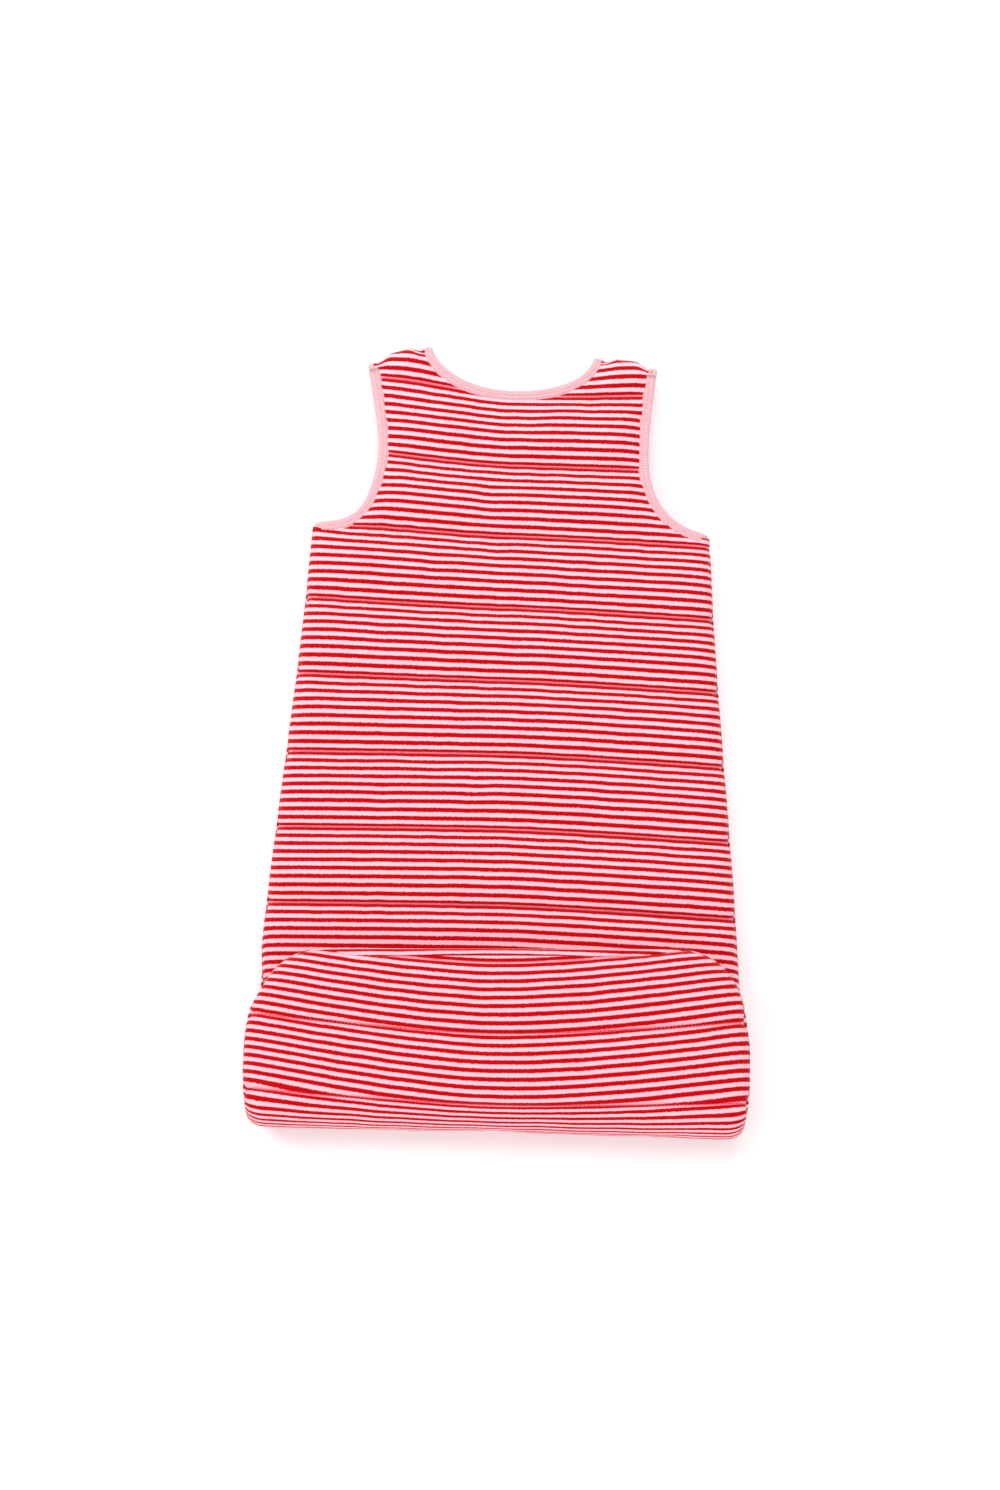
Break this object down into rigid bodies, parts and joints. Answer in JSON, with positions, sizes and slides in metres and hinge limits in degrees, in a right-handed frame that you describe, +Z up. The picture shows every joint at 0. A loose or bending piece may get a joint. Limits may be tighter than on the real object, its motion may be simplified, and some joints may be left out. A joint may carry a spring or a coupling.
{
  "type": "baby sleeping bag",
  "caption": "Sleeveless quilted baby sleeping bag in striped velour with rib bindings and a front zip, lying face down with its foot end folded up over the back.",
  "frame": {"origin": "centre of the folded bag's outline, on the surface that it lies on", "axes": "+X across the bag, +Y towards the neck, +Z up, away from the surface and out of the wearer's back"},
  "size_m": [0.356, 0.6035, 0.0468],
  "materials": {
    "striped_velour": "matte",
    "rib_binding": "matte",
    "polyester_wadding": "matte",
    "jersey_lining": "matte",
    "zip_tape": "matte",
    "zip_coil": "satin",
    "zip_metal": "polished",
    "woven_label": "satin"
  },
  "bodies": {
    "bag_body": {"back_shell": "striped_velour", "front_shell": "striped_velour", "zip_garage": "striped_velour", "neck_binding": "rib_binding", "armhole_binding_left": "rib_binding", "armhole_binding_right": "rib_binding", "back_wadding": "polyester_wadding", "front_wadding": "polyester_wadding", "back_lining": "jersey_lining", "front_lining": "jersey_lining", "zip_guard": "jersey_lining", "side_seam_left": "jersey_lining", "side_seam_right": "jersey_lining", "shoulder_seam_left": "jersey_lining", "shoulder_seam_right": "jersey_lining", "zip_tape_left": "zip_tape", "zip_tape_right": "zip_tape", "zip_coil_left": "zip_coil", "zip_coil_right": "zip_coil", "zip_top_stop_left": "zip_metal", "zip_top_stop_right": "zip_metal", "zip_bottom_stop": "zip_metal", "neck_label": "woven_label", "care_label": "woven_label"},
    "fold_spine": {"fold_front_shell": "striped_velour", "fold_back_shell": "striped_velour", "fold_front_wadding": "polyester_wadding", "fold_back_wadding": "polyester_wadding", "fold_front_lining": "jersey_lining", "fold_back_lining": "jersey_lining", "fold_seam_left": "jersey_lining", "fold_seam_right": "jersey_lining"},
    "foot_end": {"foot_front_shell": "striped_velour", "foot_back_shell": "striped_velour", "foot_front_wadding": "polyester_wadding", "foot_back_wadding": "polyester_wadding", "foot_front_lining": "jersey_lining", "foot_back_lining": "jersey_lining", "toe_seam": "jersey_lining"},
    "zip_slider": {"zip_slider": "zip_metal"},
    "zip_pull": {"zip_pull_tab": "zip_metal"}
  },
  "joints": [
    {"name": "lower_fold", "type": "hinge", "parent": "bag_body", "child": "fold_spine", "pos_m": [0, -0.29698, 0.00502], "axis": [1, 0, 0], "range_deg": [0, 90]},
    {"name": "upper_fold", "type": "hinge", "parent": "fold_spine", "child": "foot_end", "pos_m": [0, -0.29698, 0.04178], "axis": [1, 0, 0], "range_deg": [0, 90]},
    {"name": "zip_slide", "type": "slide", "parent": "bag_body", "child": "zip_slider", "axis": [0, -1, 0], "range_m": [0, 0.41]},
    {"name": "pull_pivot", "type": "hinge", "parent": "zip_slider", "child": "zip_pull", "pos_m": [0, 0.199, 0.0024], "axis": [1, 0, 0], "range_deg": [0, 150]}
  ],
  "couplings": [
    {"joint": "upper_fold", "follows": "lower_fold", "ratio": 1}
  ]
}
